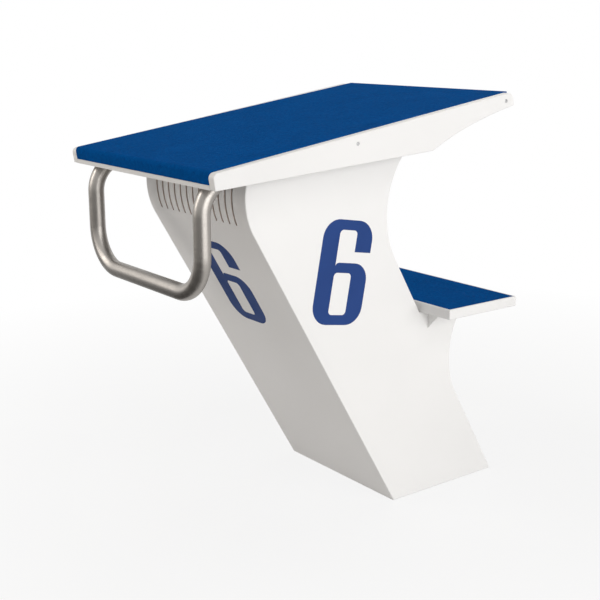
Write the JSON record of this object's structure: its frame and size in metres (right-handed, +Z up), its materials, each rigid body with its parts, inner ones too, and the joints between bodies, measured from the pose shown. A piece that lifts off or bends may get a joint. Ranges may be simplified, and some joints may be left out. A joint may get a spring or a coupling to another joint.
{
  "type": "swimming starting block",
  "caption": "Leaning sheet-metal starting block for a pool: sloping deck with a non-slip tread, bent tube grip under its front edge, slotted front and a rear step.",
  "frame": {"origin": "middle of the base's underside, where the block stands on the pool deck", "axes": "+Z up, -Y towards the pool, +X to the left of a swimmer who faces the pool"},
  "size_m": [0.5, 0.7568, 0.8176],
  "materials": {
    "white_coat": "satin white powder coat",
    "white_plastic": "matt white",
    "blue_tread": "matt blue with a fine grit",
    "brushed_tube": "satin brushed stainless",
    "screw_steel": "plain stainless",
    "plain_steel": "plain sheet steel",
    "black_plastic": "matt black"
  },
  "bodies": {
    "root": {"side_panel_left": "white_coat", "side_panel_right": "white_coat", "front_panel": "white_coat", "rear_panel_upper": "white_coat", "rear_panel_lower": "white_coat", "base_plate": "plain_steel", "rear_panel_screw_left_1": "screw_steel", "rear_panel_screw_left_2": "screw_steel", "rear_panel_screw_left_3": "screw_steel", "rear_panel_screw_right_1": "screw_steel", "rear_panel_screw_right_2": "screw_steel", "rear_panel_screw_right_3": "screw_steel", "deck_tread": "blue_tread", "deck_pan": "white_plastic", "cheek_left": "white_plastic", "cheek_right": "white_plastic", "cheek_screw_left_1": "screw_steel", "cheek_screw_left_2": "screw_steel", "cheek_screw_right_1": "screw_steel", "cheek_screw_right_2": "screw_steel", "deck_bolt_left_1": "screw_steel", "deck_bolt_left_2": "screw_steel", "deck_bolt_left_3": "screw_steel", "deck_bolt_right_1": "screw_steel", "deck_bolt_right_2": "screw_steel", "deck_bolt_right_3": "screw_steel", "grip_tube": "brushed_tube", "grip_saddle_left_1": "brushed_tube", "grip_saddle_left_2": "brushed_tube", "grip_saddle_right_1": "brushed_tube", "grip_saddle_right_2": "brushed_tube", "grip_screw_left_1": "screw_steel", "grip_screw_left_2": "screw_steel", "grip_screw_left_3": "screw_steel", "grip_screw_left_4": "screw_steel", "grip_screw_right_1": "screw_steel", "grip_screw_right_2": "screw_steel", "grip_screw_right_3": "screw_steel", "grip_screw_right_4": "screw_steel", "grip_end_plug_left": "black_plastic", "grip_end_plug_right": "black_plastic", "step_board": "white_plastic", "step_tread": "blue_tread", "step_gusset_left": "white_coat", "step_gusset_right": "white_coat", "step_bolt_left_1": "screw_steel", "step_bolt_left_2": "screw_steel", "step_bolt_right_1": "screw_steel", "step_bolt_right_2": "screw_steel", "gusset_screw_left": "screw_steel", "gusset_screw_right": "screw_steel", "speaker_baffle": "plain_steel", "speaker_basket": "black_plastic", "speaker_cone": "black_plastic", "speaker_magnet": "plain_steel"}
  },
  "joints": []
}
